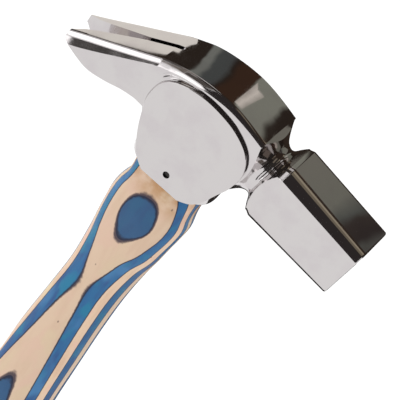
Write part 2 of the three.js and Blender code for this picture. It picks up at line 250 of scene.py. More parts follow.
# %% The whole handle
rim_level = -16.15 * mm
butt_level = rim_level - 266 * mm
waist_level = rim_level - 45 * mm
socket_top = rim_level + 26.65 * mm
wood_inset = 0.6 * mm
butt_round, tenon_round = 3.5 * mm, 2.75 * mm
oval_sides = 144
rings_below, rings_inside = 230, 16
handle_stations = [
    (butt_level + 6 * mm, 15.5 * mm, 10.75 * mm, 2, 0, 0),
    (butt_level + 66 * mm, 13.2 * mm, 8.6 * mm, 1.9, 0, 0),
    (butt_level + 123 * mm, 13.6 * mm, 8.78 * mm, 1.9, 0, 0),
    (rim_level - 105.8 * mm, 11.8 * mm, 8 * mm, 1.87, -0.1, 0.2 * mm),
    (rim_level - 89.8 * mm, 10.45 * mm, 7.36 * mm, 1.88, -0.18, 0.5 * mm),
    (rim_level - 73.8 * mm, 10.07 * mm, 6.83 * mm, 1.7, -0.104, 0.15 * mm),
    (rim_level - 57.9 * mm, 9.43 * mm, 6.2 * mm, 1.7, -0.12, 0.14 * mm),
    (waist_level, 9.2 * mm, 5.9 * mm, 1.72, -0.104, 0.27 * mm),
    (rim_level - 33.9 * mm, 9.92 * mm, 6.8 * mm, 1.72, -0.03, 0.19 * mm),
    (rim_level - 26.9 * mm, 10.8 * mm, 7.28 * mm, 2.03, 0.083, 0.16 * mm),
    (rim_level - 21.9 * mm, 11.24 * mm, 7.58 * mm, 2.19, 0.119, 0.14 * mm),
    (rim_level - 16.9 * mm, 11.74 * mm, 7.98 * mm, 2.17, 0.159, 0.2 * mm),
    (rim_level - 12.4 * mm, 11.5 * mm, 7.82 * mm, 2.4, 0.116, 0.6 * mm),
    (rim_level - 8.4 * mm, 10.5 * mm, 7.47 * mm, 2.7, 0.113, 0.65 * mm),
    (rim_level - 4.4 * mm, 10.6 * mm, 7.14 * mm, 2.45, 0.079, 0.3 * mm),
    (rim_level, 12 * mm - wood_inset, 7.3 * mm - wood_inset, 2, 0, 0),
]
socket_stations = [
    (rim_level, 12 * mm, 7.3 * mm, 2, 0, 0),
    (socket_top, 10 * mm, 6.1 * mm, 2.2, 0, 0),
]
tenon_stations = [
    (level, wide - wood_inset, thick - wood_inset, *rest)
    for level, wide, thick, *rest in socket_stations
]


def handle_sizes(level):
    return sizes_from(handle_stations if level <= rim_level else tenon_stations)(level)


def handle_form():
    below = levels_between(butt_level, rim_level, rings_below, butt_round, 0)
    inside = levels_between(rim_level, socket_top - wood_inset, rings_inside, 0, tenon_round)[1:]
    return oval_bar(handle_sizes, below + inside, oval_sides, butt_round, tenon_round)


handle = piece_from(handle_form(), "handle_form")
print("Handle form:", len(handle.data.polygons), "faces")

# %% [markdown]
# A steel pin goes through both cheeks and the handle, near the lower edge of the head. The CAD node
# of the pin is kept, so wood and steel only need the hole. A drill is a plain cylinder, and it is
# cut away from the whole handle before the plies are made, so that the hole runs true through all.

# %% The hole for the pin
pin_place = Vector((0.45 * mm, rim_level + 4.1 * mm, mid_plane))
pin_hole_radius = 1 * mm


def drill_through(half_length):
    bm = bmesh.new()
    bmesh.ops.create_cone(bm, cap_ends=True, segments=48, radius1=pin_hole_radius,
                          radius2=pin_hole_radius, depth=2 * half_length)
    bmesh.ops.translate(bm, verts=bm.verts, vec=pin_place)
    return piece_from(bm, "drill")


combine(handle, drill_through(14 * mm), "DIFFERENCE")
print("Handle form with its hole:", len(handle.data.polygons), "faces")

# %% [markdown]
# The plies are real layers, so each becomes a piece of its own. Two flat cuts along its glue lines
# take every ply out of the handle's form, and a third cut at the waist parts the pieces that the
# slim waist sands through. The round surface then shows the rings and islands that sanding lays
# open on the real one. The stack leans a little about the handle's axis, which is why the islands
# sit off centre.

# %% Cutting one ply out of the handle
ply = 1.64 * mm
ply_tilt = math.radians(5)
stack_normal = Vector((-math.sin(ply_tilt), 0, math.cos(ply_tilt)))
stack_middle = Vector((0, 0, mid_plane))
seam_gap = 0.004 * mm


def glue_at(count):
    return (count - 0.5) * ply


def slice_of(form, name, low, high, level=None, above=True):
    bm = bmesh.new()
    bm.from_mesh(form.data)
    cuts = [(stack_middle + stack_normal * (low + seam_gap), -stack_normal)]
    if high is not None:
        cuts.append((stack_middle + stack_normal * (high - seam_gap), stack_normal))
    if level is not None:
        cuts.append((Vector((0, level, 0)), Vector((0, -1 if above else 1, 0))))
    for place, away in cuts:
        geom = [*bm.verts, *bm.edges, *bm.faces]
        cut = bmesh.ops.bisect_plane(bm, geom=geom, dist=1e-7, plane_co=place, plane_no=away,
                                     clear_outer=True)
        edges = [e for e in cut["geom_cut"] if isinstance(e, bmesh.types.BMEdge)]
        rim = [e for e in edges if e.is_boundary]
        if rim:
            bmesh.ops.triangle_fill(bm, use_beauty=True, edges=rim, normal=away)
    return piece_from(bm, name)


print("Glue lines above the middle, in mm:", [round(glue_at(i) / mm, 2) for i in range(1, 7)])

# %% [markdown]
# Above and below the natural core lie four full plies each, blue and natural in turn. Of the fifth
# only an island on the shoulder and a strip on the grip are left, and of the sixth only the flare
# of the butt. The lower side is the upper one turned over, so one list serves both.

# %% Sorting the handle into its plies
lowest = -20 * mm


def turned_over(low, high):
    return (-high if high is not None else lowest, -low)


layers = [(f"{count}_{'blue' if count % 2 else 'natural'}", count, glue_at(count + 1), None, True)
          for count in (1, 2, 3, 4)]
layers += [("5_blue_shoulder", 5, None, waist_level, True),
           ("5_blue_grip", 5, glue_at(6), waist_level, False),
           ("6_natural_butt", 6, None, waist_level, False)]
core = slice_of(handle, "core_ply", -ply / 2, ply / 2)
plies = [(core, "ply_core_natural", "natural_ply")]
for side in ("upper", "lower"):
    for kind, count, high, level, above in layers:
        low = glue_at(count)
        if side == "lower":
            low, high = turned_over(low, high)
        piece = slice_of(handle, f"{side}_ply_{kind}", low, high, level, above)
        plies.append((piece, f"ply_{side}_{kind}", "blue_ply" if "blue" in kind else "natural_ply"))
bpy.data.objects.remove(handle)
for piece, node, colour in plies:
    piece.data.shade_smooth()
    piece.data.set_sharp_from_angle(angle=math.radians(40))
    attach(piece, "root")
    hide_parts(node)
print("Plies:", len(plies), "pieces,", sum(len(p.data.polygons) for p, _, _ in plies), "faces")

# %% [markdown]
# The head is one forging, so it ends as one mesh, but its parts are shaped one at a time and then
# joined. Two helpers serve several of them. One extrudes a flat outline into a solid, and the other
# turns the corners of a line in small arcs, as a bevel would on a finished edge.

# %% Helpers for the forging
def extruded(corners, step):
    """A solid between one face and the same face moved on by a step."""
    bm = bmesh.new()
    face = bm.faces.new([bm.verts.new(corner) for corner in corners])
    sweep = bmesh.ops.extrude_face_region(bm, geom=[face])["geom"]
    moved = [part for part in sweep if isinstance(part, bmesh.types.BMVert)]
    bmesh.ops.translate(bm, verts=moved, vec=step)
    return bm


def rounded_corners(corners, radius, steps):
    """A line through the corners, with each inner corner turned in a small arc."""
    points = [corners[0]]
    for before, corner, after in zip(corners, corners[1:], corners[2:]):
        back, on = Vector(before) - Vector(corner), Vector(after) - Vector(corner)
        reach = min(radius, 0.45 * back.length, 0.45 * on.length)
        corner = Vector(corner)
        start = corner + back.normalized() * reach
        end = corner + on.normalized() * reach
        for step in range(steps + 1):
            t = step / steps
            points.append(tuple(start * (1 - t) ** 2 + corner * 2 * t * (1 - t) + end * t**2))
    return points + [corners[-1]]


print("A rounded corner has", len(rounded_corners([(0, 0), (1, 0), (1, 1)], 0.2, 4)), "points")

# %% [markdown]
# Seen from the side, claw and crown are one line: straight along the claw, then over the closed
# top of the head in a low arch, and down to the neck. Seen from above, the claw gets slimmer
# towards its tips. The long upper edges are ground to a chamfer in three narrow facets, which are
# wide on the claw and run out towards the neck. These tables hold the measured places.

# %% The line and the chamfers of claw and crown
body_half = 9.65 * mm
claw_tip, claw_root = -42.5 * mm, -18.25 * mm
claw_tip_top, claw_root_top = -1.05 * mm, 13 * mm
crown_top = 17.45 * mm
front, front_top = 16.95 * mm, 14.3 * mm
front_edge = 15.7 * mm
crown_camber = 0.35 * mm
side_stations = [(claw_tip, 7.2 * mm), (-30 * mm, 8 * mm), (claw_root, 8.8 * mm),
                 (-10 * mm, 9.45 * mm), (0, body_half)]
# Place along the head, then width and slant of the wide facet, width and slant of the side facet
# below it, and width of the upper facet.
bevel_stations = [
    (x * mm, wide * mm, math.radians(slant), side * mm, math.radians(side_slant), upper * mm)
    for x, wide, slant, side, side_slant, upper in (
        (-42, 1.35, 36, 2.5, 16, 0.3), (-28, 1.35, 36, 1.6, 15, 0.35), (-20, 1.25, 36, 1, 15, 0.35),
        (-16, 1.15, 36, 0.95, 15, 0.35), (-6, 1.1, 37, 0.8, 15, 0.4), (6, 1, 42, 0.45, 15, 0.5),
        (16, 0.8, 50, 0.3, 18, 0.6))
]
upper_slant = math.radians(24)
facet_rounding = 0.2 * mm


def crown_line():
    run = front - claw_root
    shares = [(0.1, 0.83), (0.2, 0.905), (0.34, 0.964), (0.5, 0.995), (0.64, 0.988), (0.8, 0.93)]
    crown = [(claw_root, claw_root_top, 0)]
    crown += [(claw_root + along * run, up * crown_top, 0) for along, up in shares]
    crown += [(front, front_top, 0)]
    return [point for point in curve_through(crown, 12) if point.x < front_edge]


def top_line():
    """The line of claw and crown, carried on past both ends."""
    past, steps = 8 * mm, 48
    crown = crown_line()
    root = crown[0]
    slope = (root.y - claw_tip_top) / (root.x - claw_tip)
    line = [Vector((claw_tip - past, claw_tip_top - past * slope, 0))]
    line += [line[0].lerp(root, i / steps) for i in range(1, steps)]
    line += crown
    share = (front_edge - line[-1].x) / (front - line[-1].x)
    edge = line[-1].lerp(Vector((front, front_top, 0)), share)
    return line + [edge, edge + Vector((past, -0.58 * past, 0))]


print("Line of claw and crown:", len(top_line()), "places")

# %% [markdown]
# A block lies under that line. Each ring of its skin is one section across the head: a slightly
# crowned top, the three facets and the flat side, all measured out and down from the line. Where
# the line is steep, the section is stretched downwards, so that the facets keep their width on the
# steel. Bevelling the finished body would be simpler, but it fails at the tips of the claw, where
# there is no height left for a chamfer. A narrow strip in the middle keeps the halves of a ring
# apart, so that no two of its points fall together.

# %% The block under the line
middle_strip, block_bottom = 0.2 * mm, -30 * mm
side_start = 3 * mm


def half_section(point, steepness):
    """Half of the outline across the block, as places out and down from its top line."""
    wide, slant, side_wide, side_slant, upper = (
        value_at(bevel_stations, column, point.x) for column in (1, 2, 3, 4, 5))
    half = value_at(side_stations, 1, point.x)
    knee = (half - side_wide * math.sin(side_slant), side_wide * math.cos(side_slant))
    edge = (upper * math.sin(slant + upper_slant), upper * math.cos(slant + upper_slant))
    flat = knee[0] - wide * math.sin(slant) - edge[0]
    drop = wide * math.cos(slant) + edge[1]
    low = drop + knee[1]
    camber = [(flat * i / 8, crown_camber * (i / 8) ** 2) for i in range(9)]
    corners = [camber[-2], camber[-1], (flat + edge[0], edge[1] + crown_camber),
               (knee[0], drop + crown_camber),
               (half, low + crown_camber), (half, low + crown_camber + side_start)]
    places = camber[:-2] + rounded_corners(corners, facet_rounding, 4)
    return [(out, down * steepness) for out, down in places]


def block_form():
    line = top_line()
    stations = []
    for i, point in enumerate(line):
        run = line[min(i + 1, len(line) - 1)] - line[max(i - 1, 0)]
        stations.append((point, run.length / run.x))
    count = len(half_section(*stations[0]))

    def place_point(station, angle):
        point = station[0]
        place = round(angle / (2 * math.pi) * 2 * count)
        sign = 1 if place < count else -1
        if place >= count:
            place = 2 * count - 1 - place
        out, down = half_section(*station)[place]
        if place == 0:
            out = middle_strip
        if place == count - 1:
            down = point.y - block_bottom
        return Vector((point.x, point.y - down, mid_plane + sign * out))

    return skin_over(stations, 2 * count, place_point)


body = piece_from(block_form(), "body")
print("Block:", len(body.data.polygons), "faces")

# %% [markdown]
# A thick plate has the true outline from below: the blunt tips, the hollow underside of the claw,
# the arch beside the socket and the bottom of the body. Where block and plate meet, body and claw
# are left over.

# %% The plate with the outline from below
plate_half = 14 * mm


def plate_form():
    outline = [(-42.5, -2.6), (-42.5, 24), (19.2, 24), (19.2, -9.5), (11, -9.5), (10.4, -8.07),
               (-10.4, -8.07), (-13.85, -1.9)]
    line = [(x * mm, y * mm) for x, y in outline]
    under = [(-18.2, -1.9), (-22.3, -2.8), (-27.1, -4.5), (-32.6, -5.75), (-37.1, -5.25),
             (-42.5, -3.7)]
    line += [(p.x, p.y) for p in curve_through([(x * mm, y * mm, 0) for x, y in under], 12)]
    bm = extruded([(x, y, mid_plane - plate_half) for x, y in line], (0, 0, 2 * plate_half))
    bmesh.ops.recalc_face_normals(bm, faces=bm.faces)
    return bm


combine(body, piece_from(plate_form(), "plate"), "INTERSECT")
print("Body and claw:", len(body.data.polygons), "faces")

# %% [markdown]
# The skirt is the lower part of the body, round the socket. It widens from the rim upwards and gets
# squarer on the way, so the same bar of ovals that made the handle makes it too.

# %% Skirt
cheek_half = 10.75 * mm
skirt_half = cheek_half - 0.4 * mm
rim_round = 0.5 * mm
skirt_stations = [
    (rim_level, 12.9 * mm, skirt_half, 2.4, 0, 0),
    (rim_level / 2, 13.85 * mm, skirt_half, 3, 0, 0),
    (0, 13.85 * mm, body_half, 4, 0, 0),
]
skirt_levels = levels_between(rim_level, 0, 24, rim_round)
skirt_bar = oval_bar(sizes_from(skirt_stations), skirt_levels, oval_sides, rim_round)
skirt = piece_from(skirt_bar, "skirt")
print("Skirt:", len(skirt.data.polygons), "faces")

# %% [markdown]
# The cheek plate is a flat, egg-shaped boss that stands a little proud of both sides. Its outline
# is smooth and its top edge crisp. On the claw's side the wall doesn't end in a corner: it runs out
# in a hollow fillet that dips into the body, as a grinding wheel leaves it. Its rim is therefore
# extruded down in eight small steps along a quarter circle. Near the claw each ring is also
# widened and sunk, and the share of that grows from nothing, so the fillet has no start or end.

# %% Cheek plates
cove_reach, cove_drop = 1.9 * mm, 0.45 * mm
cove_start, cove_run = -3.5 * mm, 9 * mm
cove_low, cove_rise = -4 * mm, 6 * mm
cheek_edge, sunk_in_body = 0.22 * mm, 0.03 * mm
wall_steps = 8


def cheek_outline():
    shares = [(-0.38, -1), (-0.62, -0.8), (-0.81, -0.46), (-0.94, -0.1), (-1, 0.22), (-0.94, 0.6),
              (-0.75, 0.83), (-0.48, 0.95), (-0.08, 1), (0.37, 0.935), (0.7, 0.78), (0.9, 0.57),
              (1, 0.26), (0.965, -0.11), (0.85, -0.42), (0.74, -0.7), (0.6, -0.89), (0.4, -1)]
    points = []
    for across, up in shares:
        reach = 15.3 * mm if across < 0 else 16.15 * mm
        height = 16.15 * mm if up < 0 else 14.05 * mm
        points.append((across * reach, up * height, 0))
    return curve_through(points, 8)


def cove_share(vert):
    """How much of the hollow fillet a place has: all near the claw, none below or by the poll."""
    near_claw = min(max((cove_start - vert.co.x) / cove_run, 0), 1)
    above = min(max((vert.co.y - cove_low) / cove_rise, 0), 1)
    return near_claw**1.5 * above


def widen(ring, share):
    for vert in ring:
        out = Vector((vert.co.x, vert.co.y, 0)).normalized() * cove_reach * share
        vert.co += out * cove_share(vert)


def cheek_form():
    bm = bmesh.new()
    bm.faces.new([bm.verts.new(p) for p in cheek_outline()])
    bmesh.ops.translate(bm, verts=bm.verts, vec=(0, 0, mid_plane + cheek_half))
    crisp = list(bm.edges)
    edges = crisp
    wall_height = cheek_half - body_half + sunk_in_body
    before = 0
    for step in range(1, wall_steps + 1):
        angle = math.pi / 2 * step / wall_steps
        ring, edges = extrude_ring(bm, edges)
        spread = 1 - math.cos(angle)
        for vert in ring:
            deep = wall_height + cove_drop * cove_share(vert)
            vert.co.z = mid_plane + cheek_half - deep * math.sin(angle)
        widen(ring, spread - before)
        before = spread
    ring, edges = extrude_ring(bm, edges)
    for vert in ring:
        vert.co.z = mid_plane
    bm.normal_update()
    bmesh.ops.bevel(bm, geom=crisp, offset=cheek_edge, offset_type="OFFSET", segments=3,
                    profile=0.5, affect="EDGES", clamp_overlap=False, material=-1)
    half = [*bm.verts, *bm.edges, *bm.faces]
    bmesh.ops.mirror(bm, geom=half, matrix=Matrix.Translation((0, 0, -mid_plane)), axis="Z",
                     merge_dist=same_place)
    bmesh.ops.remove_doubles(bm, verts=bm.verts, dist=same_place)
    return bm


cheeks = piece_from(cheek_form(), "cheeks")
print("Cheeks:", len(cheeks.data.polygons), "faces")

# %% [markdown]
# The neck is a round waist between body and poll, as a lathe would turn it. Building it as a turned
# bar would leave seams at both ends, so the groove is built instead: its profile, as places along
# the poll's axis and their distances from it, is spun into a thick ring that is later cut out of
# the steel. The poll droops towards the handle, so both are made along X and then laid onto its
# axis.

# %% The groove round the neck
poll_axis = (Matrix.Translation((24 * mm, 2.24 * mm, mid_plane))
             @ Matrix.Rotation(math.radians(-7), 4, "Z"))


def groove_form():
    outer = 17
    curve = [(-9.6, 13.6), (-9.2, 12.8), (-8.67, 11.9), (-7.63, 10.2), (-6.6, 8.85), (-5.8, 8.2),
             (-5, 7.85), (-4.3, 7.8), (-3.7, 8.1), (-3.2, 8.8), (-2.8, 9.5), (-2.1, 10.5),
             (-1.4, 11.5), (-1.2, 12.5)]
    first, *middle, last = [Vector((x * mm, r * mm, 0))
                            for x, r in [(curve[0][0], outer), *curve, (curve[-1][0], outer)]]
    line = [first, *curve_through(middle, 6), last]
    bm = bmesh.new()
    verts = [bm.verts.new(point) for point in line]
    edges = [bm.edges.new(pair) for pair in zip(verts, verts[1:] + verts[:1])]
    bmesh.ops.spin(bm, geom=verts + edges, cent=(0, 0, 0), axis=(1, 0, 0), angle=2 * math.pi,
                   steps=192, use_merge=True)
    bmesh.ops.remove_doubles(bm, verts=bm.verts, dist=same_place)
    bmesh.ops.transform(bm, matrix=poll_axis, verts=bm.verts)
    return bm


groove = piece_from(groove_form(), "groove")
print("Groove:", len(groove.data.polygons), "faces")

# %% [markdown]
# The poll is a square block whose four long edges are ground off wide. It gets a little lower
# towards the striking face, which has a small rounded edge, and behind it is bevelled towards the
# neck. Each station gives the place, height, width and size of the ground corner. A ring is built
# from one quarter of its outline, which is mirrored into the other three.

# %% Poll
poll_stations = [(-6.8, 19.2, 17.2, 3.4), (-1.2, 19.3, 17.25, 3.42), (-0.2, 20.25, 17.75, 3.6),
                 (0.1, 20.4, 17.9, 3.6), (27.05, 17.65, 17.65, 2.85), (27.3, 17.55, 17.55, 2.82),
                 (27.5, 17.25, 17.25, 2.75), (27.62, 16.6, 16.6, 2.6)]
poll_edge_round = 0.14 * mm


def corner_line(high, wide, cut):
    """The quarter from the side's middle to the top's middle: flat, bevel, three hips, flat."""
    side, top = wide / 2, high / 2
    hips = [(side - along * cut, top - down * cut)
            for along, down in ((0, 0.8), (0.52, 0.231), (0.7, 0.123), (0.86, 0.048), (1, 0))]
    return rounded_corners([(side, 0), *hips, (0, top)], poll_edge_round, 4)[1:-1]


def poll_form():
    quarter = len(corner_line(20 * mm, 17 * mm, 3 * mm))

    def place_point(station, angle):
        along, high, wide, cut = [value * mm for value in station]
        place = round(angle / (2 * math.pi) * 4 * quarter)
        turn, step = divmod(place, quarter)
        line = corner_line(high, wide, cut)
        out, up = line[step] if turn % 2 == 0 else line[quarter - 1 - step]
        out, up = (out if turn in (0, 3) else -out), (up if turn in (0, 1) else -up)
        return Vector((along, up, out))

    bm = skin_over(poll_stations, 4 * quarter, place_point)
    bmesh.ops.transform(bm, matrix=poll_axis, verts=bm.verts)
    return bm


poll = piece_from(poll_form(), "poll")
print("Poll:", len(poll.data.polygons), "faces")

# %% [markdown]
# The claw grips a nail in its slot, which is cut straight down: wide at the flared mouth, narrowing
# to a round end. The places are measured from the tips, along and out from the middle. The socket
# is the handle's tenon with room for the bedding resin round it, so it uses the tenon's stations
# before the inset is taken off.

# %% Nail slot and socket
def slot_form():
    tip, top, bottom = -42.75 * mm, 20 * mm, -12 * mm
    side = [(-5, 5.2), (0.6, 4.9), (3, 3.5), (6.6, 2.6), (9.5, 2.15), (17, 0.95), (25.6, 0.9)]
    round_end = [(25.6 + 0.9 * math.sin(a), 0.9 * math.cos(a))
                 for a in (math.pi * i / 24 for i in range(1, 24))]
    outline = side + round_end + [(x, -z) for x, z in reversed(side)]
    corners = [(tip + x * mm, top, mid_plane + z * mm) for x, z in outline]
    return extruded(corners, (0, bottom - top, 0))


def socket_form():
    levels = levels_between(rim_level, socket_top, rings_inside, 0, tenon_round)
    levels.insert(0, rim_level - 5 * mm)
    return oval_bar(sizes_from(socket_stations), levels, oval_sides, 0, tenon_round)


slot = piece_from(slot_form(), "slot")
socket = piece_from(socket_form(), "socket")
print("Slot:", len(slot.data.polygons), "faces; socket:", len(socket.data.polygons), "faces")

# %% [markdown]
# Now the parts are joined in the order of the work: the slot into the claw, skirt and poll onto the
# body, the groove out of both, the cheeks over that, and last the socket and the hole for the pin.
# The groove has to come before the cheeks, or it would bite into them. Weighted normals then keep
# the flats even: without them the light would bend on a large face near each narrow bevel.

# %% The head joined up
combine(body, slot, "DIFFERENCE")
for part in (skirt, poll):
    combine(body, part, "UNION")
combine(body, groove, "DIFFERENCE")
combine(body, cheeks, "UNION")
combine(body, socket, "DIFFERENCE")
combine(body, drill_through(16 * mm), "DIFFERENCE")
head = body
head.name = "steel_head"
head.data.name = "steel_head"
head.data.shade_smooth()
head.data.set_sharp_from_angle(angle=math.radians(24))
even = head.modifiers.new("Even light over the flats", "WEIGHTED_NORMAL")
even.keep_sharp = True
even.weight = 100
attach(head, "root")
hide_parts("hammer_head")
print("Head:", len(head.data.polygons), "faces")

# %% [markdown]
# A finish is a small net of nodes. Writing the net out takes many lines, so a few short helpers add
# a node, work with numbers, mix two colours, and open a group. A group is a net in a box: it is
# made once, and then used in each material that shows the same effect. All patterns start from the
# place on the piece in metres, so they stay where they are when the view changes.

# %% Helpers for nets of nodes
def add_node(tree, kind, inputs=None, **settings):
    node = tree.nodes.new("ShaderNode" + kind)
    for name, value in settings.items():
        setattr(node, name, value)
    for place, value in (inputs or {}).items():
        if isinstance(value, bpy.types.NodeSocket):
            tree.links.new(value, node.inputs[place])
        else:
            node.inputs[place].default_value = value
    return node


def number(tree, operation, *values):
    return add_node(tree, "Math", dict(enumerate(values)), operation=operation).outputs[0]


def ramp_up(tree, value, low, high):
    """0 below low, 1 above high, and smooth between them. It falls where high is below low."""
    node = add_node(tree, "MapRange", {"Value": value, "From Min": low, "From Max": high},
                    interpolation_type="SMOOTHSTEP")
    return node.outputs["Result"]


def blend(tree, share, first, second):
    node = add_node(tree, "Mix", {0: share, 6: first, 7: second}, data_type="RGBA")
    return node.outputs[2]


def stretched(tree, along):
    """The place on the piece, pulled out or pressed together along each axis."""
    place = add_node(tree, "TexCoord").outputs["Object"]
    return add_node(tree, "Mapping", {"Vector": place, "Scale": along}).outputs["Vector"]


def noise_at(tree, vector, scale, detail=2):
    node = add_node(tree, "TexNoise", {"Vector": vector, "Scale": scale, "Detail": detail})
    return node.outputs["Fac"]


def open_group(name, inputs, outputs):
    group = bpy.data.node_groups.new(name, "ShaderNodeTree")
    for label, kind, value in inputs:
        entry = group.interface.new_socket(label, in_out="INPUT", socket_type="NodeSocket" + kind)
        entry.default_value = value
    for label, kind in outputs:
        group.interface.new_socket(label, in_out="OUTPUT", socket_type="NodeSocket" + kind)
    start, end = group.nodes.new("NodeGroupInput"), group.nodes.new("NodeGroupOutput")
    return group, start.outputs, end.inputs


def shaded(red, green, blue_part):
    """A colour in 0 to 255, as a screen shows it, turned into the plain light that Blender uses."""
    def plain(x):
        x /= 255
        return x / 12.92 if x <= 0.04045 else ((x + 0.055) / 1.055) ** 2.4
    return (plain(red), plain(green), plain(blue_part), 1)


print("Half way up on a screen is", round(shaded(128, 128, 128)[0], 3), "of the light")

# %% [markdown]
# Both kinds of ply are the same wood, and one of them is dyed through. The grain runs down the
# handle, so the noise is stretched along Y. Wider patches, small dark pores and the dark glue lines
# lie over it. A glue line is where the height in the stack comes to a whole number of plies, so the
# group works that height out from the place on the piece. The same count gives each ply a tone of
# its own, as every sheet takes the dye in its own way. Close to the head the pale wood gets painted
# shade: it is made darker and warmer there in blotches, as far as one input of the group asks.

# %% The wood of the plies
mid_grey = (0.5, 0.5, 0.5, 1)
wood_group, wood_in, wood_out = open_group(
    "sanded_ply",
    [("Main", "Color", mid_grey), ("Streak", "Color", mid_grey), ("Patch", "Color", mid_grey),
     ("Second Patch", "Color", mid_grey), ("Dull", "Color", mid_grey),
     ("Glue", "Color", (0.02, 0.02, 0.03, 1)), ("Head Shade", "Float", 0), ("Pores", "Float", 0.5)],
    [("Color", "Color"), ("Roughness", "Float"), ("Height", "Float")])
plies_below = 20


def wood_colour(tree):
    streaks = noise_at(tree, stretched(tree, (1, 0.16, 1)), scale=420, detail=3)
    patches = noise_at(tree, stretched(tree, (1, 0.45, 1)), scale=210)
    others = noise_at(tree, stretched(tree, (0.9, 0.4, 1.1)), scale=160)
    colour = blend(tree, ramp_up(tree, streaks, 0.4, 0.66), wood_in["Main"], wood_in["Streak"])
    colour = blend(tree, ramp_up(tree, patches, 0.5, 0.68), colour, wood_in["Patch"])
    return blend(tree, ramp_up(tree, others, 0.52, 0.7), colour, wood_in["Second Patch"])


def ply_count(tree, even):
    """The height in the stack, counted in plies from far below, so that it is never negative."""
    scaled = stack_normal / ply
    height = add_node(tree, "VectorMath", {0: even, 1: scaled}, operation="DOT_PRODUCT")
    start = 0.5 - stack_middle.dot(scaled) + plies_below
    return number(tree, "ADD", height.outputs["Value"], start)


def ply_tone(tree, count):
    """A value between 0 and 1 that jumps from ply to ply."""
    step, start = 1.17, -4.28
    turn = number(tree, "MULTIPLY_ADD", number(tree, "FLOOR", count), step,
                  start - plies_below * step)
    return number(tree, "MULTIPLY_ADD", number(tree, "SINE", turn), 0.42, 0.42)


# Painted shade under the head: where, and how strongly, the pale wood turns darker and warmer near
# the rim.
def painted_head_shade(tree, even):
    split = add_node(tree, "SeparateXYZ", {0: even})
    near_rim = ramp_up(tree, split.outputs["Y"], rim_level - 12 * mm, rim_level - 1 * mm)
    blotches = ramp_up(tree, noise_at(tree, even, scale=260, detail=3), 0.25, 0.62)
    return number(tree, "MULTIPLY", number(tree, "MULTIPLY", near_rim, blotches), wood_in["Head Shade"])


def pores(tree):
    cells = add_node(tree, "TexVoronoi", {"Vector": stretched(tree, (1, 0.55, 1)), "Scale": 300})
    dots = ramp_up(tree, cells.outputs["Distance"], 0.1, 0.03)
    some = add_node(tree, "SeparateColor", {0: cells.outputs["Color"]}).outputs[0]
    dots = number(tree, "MULTIPLY", dots, ramp_up(tree, some, 0.55, 0.6))
    return number(tree, "MULTIPLY", dots, wood_in["Pores"])


def glue_lines(tree, even, count):
    wavy = number(tree, "MULTIPLY_ADD", noise_at(tree, even, scale=900), 0.05, -0.025)
    off = number(tree, "PINGPONG", number(tree, "ADD", count, wavy), 0.5)
    return ramp_up(tree, off, 0.075, 0.02)


def fill_wood_group(tree):
    even = stretched(tree, (1, 1, 1))
    count = ply_count(tree, even)
    colour = blend(tree, ply_tone(tree, count), wood_colour(tree), wood_in["Dull"])
    # Painted shade close to the head: a darker, warmer colour blended in.
    colour = blend(tree, painted_head_shade(tree, even), colour, shaded(192, 144, 96))
    dots = pores(tree)
    colour = blend(tree, dots, colour, shaded(92, 62, 58))
    glue = glue_lines(tree, even, count)
    colour = blend(tree, number(tree, "MULTIPLY", glue, 0.92), colour, wood_in["Glue"])
    tree.links.new(colour, wood_out["Color"])

    fine = noise_at(tree, stretched(tree, (1, 0.08, 1)), scale=1500, detail=4)
    rough = number(tree, "MULTIPLY_ADD", fine, 0.16, 0.36)
    tree.links.new(number(tree, "MULTIPLY_ADD", glue, -0.08, rough), wood_out["Roughness"])
    low = number(tree, "MULTIPLY_ADD", dots, -0.6, fine)
    tree.links.new(number(tree, "MULTIPLY_ADD", glue, -0.5, low), wood_out["Height"])


fill_wood_group(wood_group)
print("Group", wood_group.name, "has", len(wood_group.nodes), "nodes")

# %% [markdown]
# The same helper makes every finish with such a group: its colour, roughness and bump feed one
# shader, and what doesn't change over the surface is set on the shader itself. The plies are sanded
# and oiled, so they have a thin coat that hardly mirrors. The blue ones take the dye unevenly,
# with greener and paler patches, and the natural ones are warm, with a little pink and yellow.

# %% Natural and blue plies
def finish(name, group, inputs, metallic, bump, **constants):
    """A material whose colour, roughness and bump come out of one group."""
    material = bpy.data.materials.new(name)
    material.use_nodes = True
    tree = material.node_tree
    surface = tree.nodes["Principled BSDF"]
    net = tree.nodes.new("ShaderNodeGroup")
    net.node_tree = group
    for label, value in inputs.items():
        net.inputs[label].default_value = value
    relief = add_node(tree, "Bump", {"Height": net.outputs["Height"], "Strength": bump,
                                     "Distance": 0.05 * mm})
    tree.links.new(net.outputs["Color"], surface.inputs["Base Color"])
    tree.links.new(net.outputs["Roughness"], surface.inputs["Roughness"])
    tree.links.new(relief.outputs["Normal"], surface.inputs["Normal"])
    surface.inputs["Metallic"].default_value = metallic
    for label, value in constants.items():
        surface.inputs[label.replace("_", " ")].default_value = value
    return material


oil = {"Coat_Weight": 0.2, "Coat_Roughness": 0.16, "Specular_IOR_Level": 0.15}
# The natural plies take the painted shade near the head in full; the blue ones take none.
natural = finish("natural_ply", wood_group, {
    "Main": shaded(242, 210, 181), "Streak": shaded(232, 196, 167), "Patch": shaded(243, 201, 179),
    "Second Patch": shaded(238, 214, 176), "Dull": shaded(216, 190, 166),
    "Glue": shaded(50, 40, 60), "Head Shade": 1, "Pores": 0.7,
}, metallic=0, bump=0.25, **oil)
blue = finish("blue_ply", wood_group, {
    "Main": shaded(48, 112, 164), "Streak": shaded(50, 90, 146), "Patch": shaded(40, 130, 168),
    "Second Patch": shaded(74, 132, 184), "Dull": shaded(52, 86, 124),
    "Glue": shaded(32, 32, 54), "Head Shade": 0, "Pores": 0.15,
}, metallic=0, bump=0.25, **oil)
for piece, node, colour in plies:
    piece.data.materials.append(blue if colour == "blue_ply" else natural)
print("Wood:", natural.name, blue.name)
